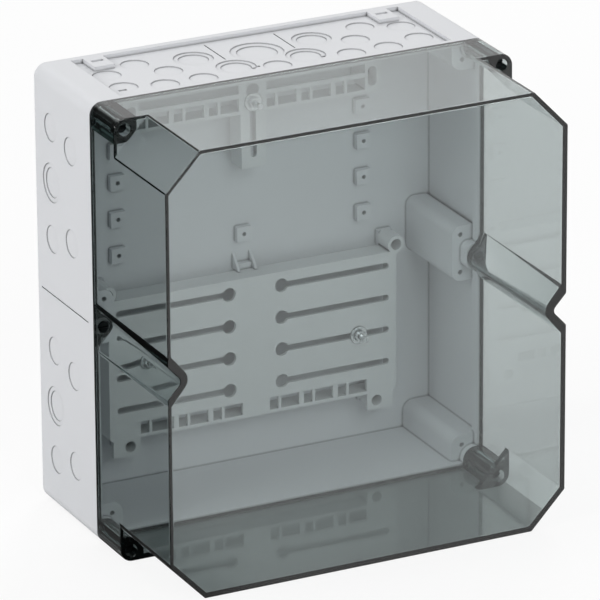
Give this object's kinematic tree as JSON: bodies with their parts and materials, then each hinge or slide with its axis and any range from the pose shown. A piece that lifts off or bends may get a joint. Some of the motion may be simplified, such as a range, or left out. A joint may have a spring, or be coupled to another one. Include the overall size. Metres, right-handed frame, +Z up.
{
  "type": "electric meter box",
  "caption": "Wall-mounted meter enclosure: knock-out base tray, deep clear cover with cut corners, slotted meter plate and hanger bar with sliding bolts.",
  "frame": {"origin": "centre of the four wall fixing holes, in the plane of the wall", "axes": "+X to the reader's right, +Y into the wall, +Z up"},
  "size_m": [0.3, 0.208, 0.32],
  "materials": {
    "base_plastic": "fine-textured moulded light grey",
    "cover_plastic": "polished smoke-tinted clear",
    "seal": "matt foam cord",
    "plate_plastic": "smooth moulded light grey",
    "lid_screw": "dark plated",
    "zinc": "bright zinc plated"
  },
  "bodies": {
    "base": {"base_shell": "base_plastic", "cover_gasket": "seal", "meter_plate": "plate_plastic", "meter_hanger": "plate_plastic", "plate_screw_upper_left": "zinc", "plate_screw_upper_right": "zinc", "plate_screw_lower_left": "zinc", "plate_screw_lower_right": "zinc", "hanger_screw_left": "zinc", "hanger_screw_right": "zinc"},
    "cover": {"cover": "cover_plastic"},
    "lid_screw_top_left": {"lid_screw_top_left": "lid_screw"},
    "lid_screw_top_right": {"lid_screw_top_right": "lid_screw"},
    "lid_screw_bottom_left": {"lid_screw_bottom_left": "lid_screw"},
    "lid_screw_bottom_right": {"lid_screw_bottom_right": "lid_screw"},
    "lid_screw_middle_left": {"lid_screw_middle_left": "lid_screw"},
    "lid_screw_middle_right": {"lid_screw_middle_right": "lid_screw"},
    "meter_bolt_top": {"meter_bolt_top": "zinc", "meter_washer_top": "zinc"},
    "meter_nut_top": {"meter_nut_top": "zinc"},
    "meter_bolt_left": {"meter_bolt_left": "zinc", "meter_washer_left": "zinc"},
    "meter_nut_left": {"meter_nut_left": "zinc"},
    "meter_bolt_right": {"meter_bolt_right": "zinc", "meter_washer_right": "zinc"},
    "meter_nut_right": {"meter_nut_right": "zinc"}
  },
  "joints": [
    {"name": "cover_off", "type": "slide", "parent": "base", "child": "cover", "axis": [0, -1, 0], "range_m": [0, 0.16]},
    {"name": "lid_screw_top_left_turn", "type": "hinge", "parent": "cover", "child": "lid_screw_top_left", "pos_m": [-0.1418, -0.09, 0.152], "axis": [0, 1, 0], "continuous": true},
    {"name": "lid_screw_top_right_turn", "type": "hinge", "parent": "cover", "child": "lid_screw_top_right", "pos_m": [0.1418, -0.09, 0.152], "axis": [0, 1, 0], "continuous": true},
    {"name": "lid_screw_bottom_left_turn", "type": "hinge", "parent": "cover", "child": "lid_screw_bottom_left", "pos_m": [-0.1418, -0.09, -0.152], "axis": [0, 1, 0], "continuous": true},
    {"name": "lid_screw_bottom_right_turn", "type": "hinge", "parent": "cover", "child": "lid_screw_bottom_right", "pos_m": [0.1418, -0.09, -0.152], "axis": [0, 1, 0], "continuous": true},
    {"name": "lid_screw_middle_left_turn", "type": "hinge", "parent": "cover", "child": "lid_screw_middle_left", "pos_m": [-0.1443, -0.09, 0], "axis": [0, 1, 0], "continuous": true},
    {"name": "lid_screw_middle_right_turn", "type": "hinge", "parent": "cover", "child": "lid_screw_middle_right", "pos_m": [0.1443, -0.09, 0], "axis": [0, 1, 0], "continuous": true},
    {"name": "meter_bolt_top_slide", "type": "slide", "parent": "base", "child": "meter_bolt_top", "axis": [0, 0, 1], "range_m": [-0.0352, 0.0084]},
    {"name": "meter_nut_top_turn", "type": "hinge", "parent": "meter_bolt_top", "child": "meter_nut_top", "pos_m": [0, -0.033, 0.116], "axis": [0, 1, 0], "continuous": true},
    {"name": "meter_bolt_left_slide", "type": "slide", "parent": "base", "child": "meter_bolt_left", "axis": [1, 0, 0], "range_m": [-0.0215, 0.0595]},
    {"name": "meter_nut_left_turn", "type": "hinge", "parent": "meter_bolt_left", "child": "meter_nut_left", "pos_m": [-0.08, -0.033, -0.068], "axis": [0, 1, 0], "continuous": true},
    {"name": "meter_bolt_right_slide", "type": "slide", "parent": "base", "child": "meter_bolt_right", "axis": [1, 0, 0], "range_m": [-0.0595, 0.0215]},
    {"name": "meter_nut_right_turn", "type": "hinge", "parent": "meter_bolt_right", "child": "meter_nut_right", "pos_m": [0.08, -0.033, -0.068], "axis": [0, 1, 0], "continuous": true}
  ]
}
